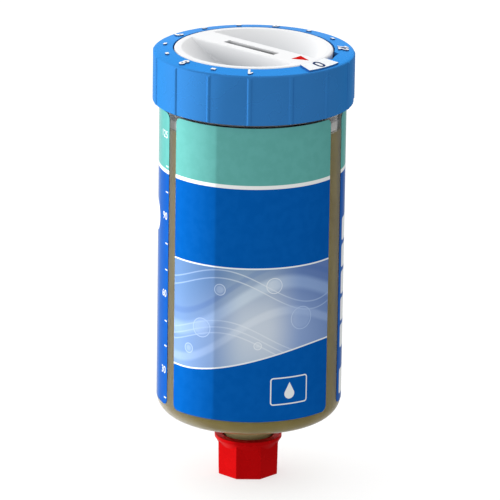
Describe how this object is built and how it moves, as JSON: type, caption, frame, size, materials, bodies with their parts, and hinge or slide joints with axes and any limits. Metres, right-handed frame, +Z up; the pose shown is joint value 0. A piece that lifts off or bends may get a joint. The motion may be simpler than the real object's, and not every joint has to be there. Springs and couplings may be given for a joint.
{
  "type": "automatic lubricator",
  "caption": "Gas-driven single-point grease lubricator: clear cylinder with label, ribbed top ring, bowl-shaped setting dial, male outlet nozzle and octagonal transport plug.",
  "frame": {"origin": "centre of the transport plug's flat foot, on the long axis", "axes": "+Z up along the long axis from the outlet to the dial; -Y is the front, the middle of the front label; +X is to the right seen from the front"},
  "size_m": [0.0538, 0.0539, 0.1193],
  "materials": {
    "clear_plastic": "clear moulded plastic, glossy",
    "label_film": "printed film, blue below and teal above",
    "ring_blue": "fine moulded texture",
    "print_white": "raised hot-stamped print",
    "print_navy": "printed figure",
    "housing_grey": "moulded",
    "seal_rubber": "lightly greased",
    "board_green": "coated glass-fibre board",
    "resistor_black": "chip resistor body",
    "screw_steel": "zinc plated",
    "cell_steel": "nickel plated can",
    "contact_brass": "spring strip",
    "membrane_white": "porous film",
    "grease": "bearing grease, light brown",
    "dial_white": "satin moulded",
    "arrow_red": "printed pointer",
    "piston_grey": "moulded",
    "plug_red": "moulded"
  },
  "bodies": {
    "root": {"container": "clear_plastic", "front_label": "label_film", "rear_label": "label_film", "grip_ring": "ring_blue", "ring_marks": "print_white", "zero_field": "print_white", "zero_figure": "print_navy", "drive_housing": "housing_grey", "housing_seal": "seal_rubber", "circuit_board": "board_green", "timing_resistors": "resistor_black", "board_screws": "screw_steel", "gas_cells": "cell_steel", "cell_springs": "contact_brass", "cell_base_strips": "contact_brass", "gas_membrane": "membrane_white", "membrane_ring": "housing_grey", "grease_charge": "grease"},
    "dial": {"selector_dial": "dial_white", "dial_arrow": "arrow_red", "dial_seal": "seal_rubber", "contact_wiper": "contact_brass"},
    "piston": {"piston": "piston_grey", "piston_seal": "seal_rubber"},
    "plug": {"transport_plug": "plug_red", "plug_seal": "seal_rubber"}
  },
  "joints": [
    {"name": "dial_turn", "type": "hinge", "parent": "root", "child": "dial", "pos_m": [0, 0, 0.1188], "axis": [0, 0, 1], "range_deg": [-312, 0]},
    {"name": "piston_travel", "type": "slide", "parent": "root", "child": "piston", "axis": [0, 0, -1], "range_m": [0, 0.075], "deforming": ["grease_charge"]},
    {"name": "plug_pull", "type": "slide", "parent": "root", "child": "plug", "axis": [0, 0, -1], "range_m": [0, 0.03]}
  ]
}
